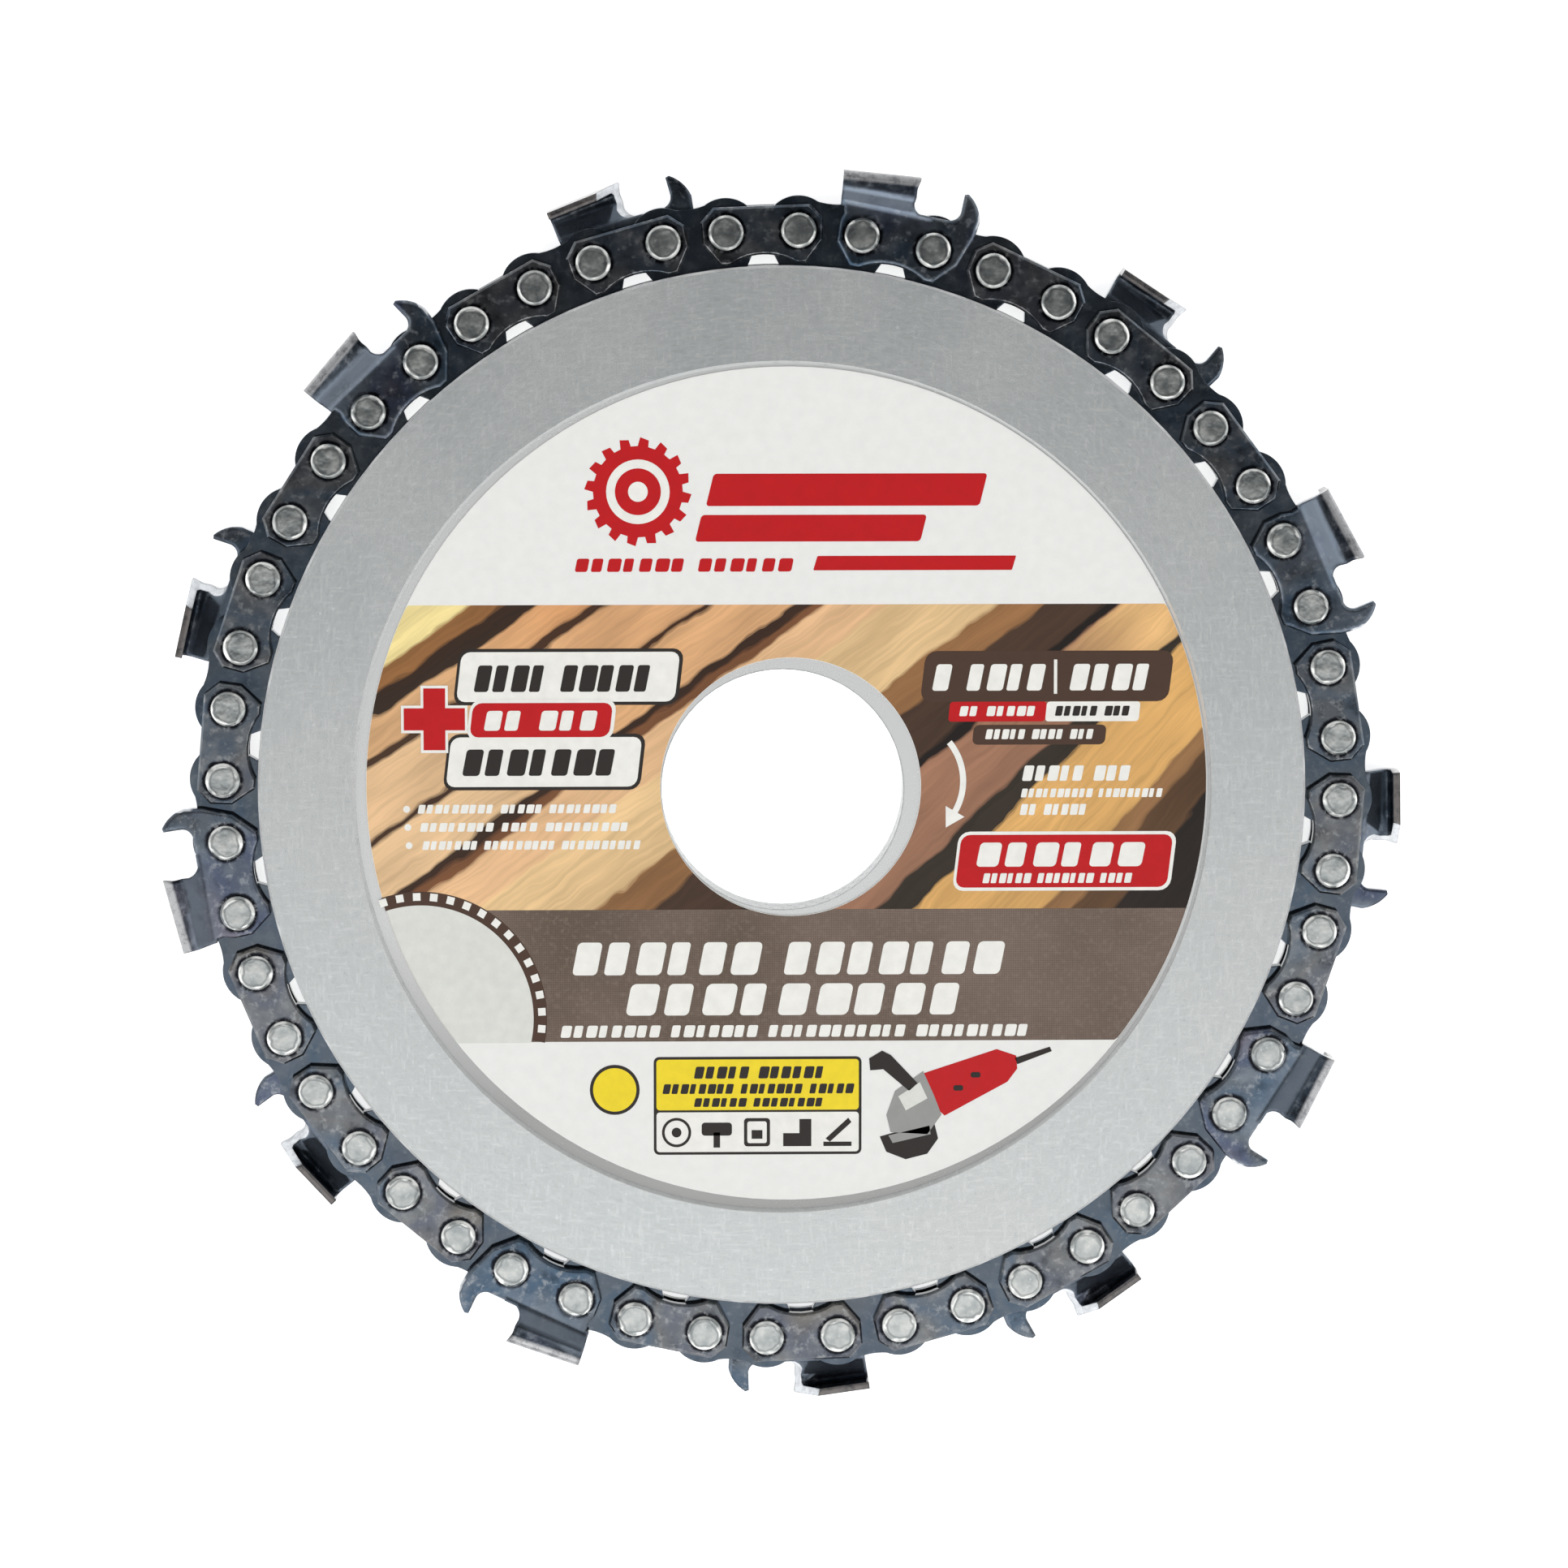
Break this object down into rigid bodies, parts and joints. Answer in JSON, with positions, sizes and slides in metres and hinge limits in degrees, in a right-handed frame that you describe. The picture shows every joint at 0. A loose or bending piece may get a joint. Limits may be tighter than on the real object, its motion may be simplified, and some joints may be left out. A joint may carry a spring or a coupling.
{
  "type": "angle grinder carving disc",
  "caption": "Round grooved metal disc for an angle grinder with a closed loop of saw chain round its rim, a centre bore and a recessed printed label; used for carving wood.",
  "frame": {"origin": "centre of the arbor bore in the back clamping face", "axes": "+Z along the arbor axis out of the label side; +Y is up and +X right when the label is seen upright"},
  "size_m": [0.1141, 0.1142, 0.0058],
  "materials": {
    "plate_steel": "fine circular brushing",
    "plate_rivet_steel": "ground flush",
    "label_film": "printed satin film",
    "cutter_steel": "blued, ground bright at the cutting edges",
    "link_steel": "blued and oiled",
    "rivet_steel": "peened bright heads"
  },
  "bodies": {
    "disc": {"front_plate": "plate_steel", "back_plate": "plate_steel", "spacer_disc": "plate_steel", "plate_rivets": "plate_rivet_steel", "label": "label_film"},
    "chain": {"chain_rivets": "rivet_steel", "cutter_left_01": "cutter_steel", "cutter_left_02": "cutter_steel", "cutter_left_03": "cutter_steel", "cutter_left_04": "cutter_steel", "cutter_left_05": "cutter_steel", "cutter_left_06": "cutter_steel", "cutter_left_07": "cutter_steel", "cutter_right_01": "cutter_steel", "cutter_right_02": "cutter_steel", "cutter_right_03": "cutter_steel", "cutter_right_04": "cutter_steel", "cutter_right_05": "cutter_steel", "cutter_right_06": "cutter_steel", "cutter_tie_straps": "link_steel", "drive_link_01": "link_steel", "drive_link_02": "link_steel", "drive_link_03": "link_steel", "drive_link_04": "link_steel", "drive_link_05": "link_steel", "drive_link_06": "link_steel", "drive_link_07": "link_steel", "drive_link_08": "link_steel", "drive_link_09": "link_steel", "drive_link_10": "link_steel", "drive_link_11": "link_steel", "drive_link_12": "link_steel", "drive_link_13": "link_steel", "drive_link_14": "link_steel", "drive_link_15": "link_steel", "drive_link_16": "link_steel", "drive_link_17": "link_steel", "drive_link_18": "link_steel", "drive_link_19": "link_steel", "drive_link_20": "link_steel", "drive_link_21": "link_steel", "drive_link_22": "link_steel", "drive_link_23": "link_steel", "drive_link_24": "link_steel", "drive_link_25": "link_steel", "drive_link_26": "link_steel", "tie_straps_01": "link_steel", "tie_straps_02": "link_steel", "tie_straps_03": "link_steel", "tie_straps_04": "link_steel", "tie_straps_05": "link_steel", "tie_straps_06": "link_steel", "tie_straps_07": "link_steel", "tie_straps_08": "link_steel", "tie_straps_09": "link_steel", "tie_straps_10": "link_steel", "tie_straps_11": "link_steel", "tie_straps_12": "link_steel", "tie_straps_13": "link_steel"}
  },
  "joints": [
    {"name": "chain_slip", "type": "hinge", "parent": "disc", "child": "chain", "pos_m": [0, 0, 0.002], "axis": [0, 0, 1], "continuous": true}
  ]
}
